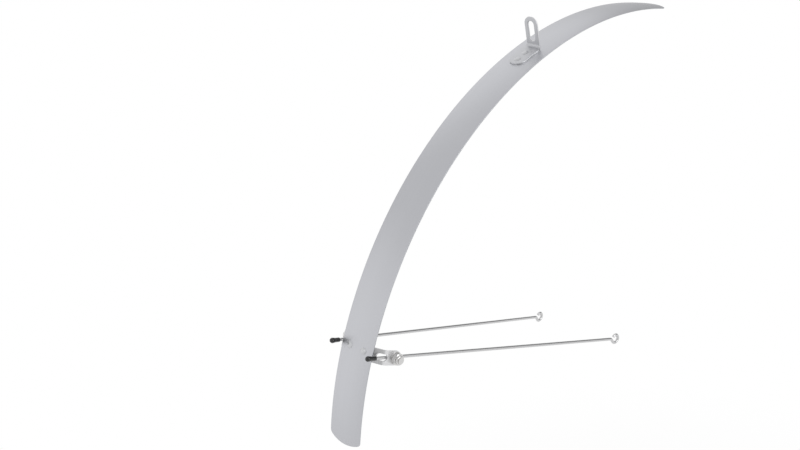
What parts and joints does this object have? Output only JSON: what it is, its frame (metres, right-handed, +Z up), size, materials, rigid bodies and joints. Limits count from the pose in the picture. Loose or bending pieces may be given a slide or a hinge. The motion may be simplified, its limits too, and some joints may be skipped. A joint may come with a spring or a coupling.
{
  "type": "bicycle mudguard",
  "caption": "Silver arched mudguard blade with a slotted fork tab and a bridge whose bent ears clamp two wire stays, each ending in an open eye.",
  "frame": {"origin": "centre of the fork slot, on the tab's front face", "axes": "+X forward along the fork bolt, +Z up along the slotted tab, +Y to the rider's left"},
  "size_m": [0.4996, 0.1046, 0.3732],
  "materials": {
    "blade": "satin",
    "fittings": "satin",
    "rivets": "satin",
    "fasteners": "bright",
    "wire": "bright",
    "caps": "gloss"
  },
  "bodies": {
    "guard": {"blade": "blade", "fork_bracket": "fittings", "fork_bracket_rivet_front": "rivets", "fork_bracket_rivet_rear": "rivets", "stay_bridge": "fittings", "bridge_rivet_left": "rivets", "bridge_rivet_right": "rivets"},
    "clamp_left": {"eye_bolt_left": "fasteners", "clamp_washer_left": "fasteners", "clamp_nut_left": "fasteners"},
    "stay_left": {"stay_left": "wire", "end_cap_left": "caps"},
    "clamp_right": {"eye_bolt_right": "fasteners", "clamp_washer_right": "fasteners", "clamp_nut_right": "fasteners"},
    "stay_right": {"stay_right": "wire", "end_cap_right": "caps"}
  },
  "joints": [
    {"name": "left_stay_swivel", "type": "hinge", "parent": "guard", "child": "clamp_left", "pos_m": [-0.25793, 0.026, -0.20263], "axis": [0.068, -0.9968, -0.0411], "range_deg": [-6.23, 2.77]},
    {"name": "left_stay_slide", "type": "slide", "parent": "clamp_left", "child": "stay_left", "axis": [-0.8682, -0.0795, 0.4897], "range_m": [0, 0.04]},
    {"name": "right_stay_swivel", "type": "hinge", "parent": "guard", "child": "clamp_right", "pos_m": [-0.25793, -0.026, -0.20263], "axis": [-0.068, -0.9968, 0.0411], "range_deg": [-7.88, 1.12]},
    {"name": "right_stay_slide", "type": "slide", "parent": "clamp_right", "child": "stay_right", "axis": [-0.882, 0.0794, 0.4644], "range_m": [0, 0.04]}
  ]
}
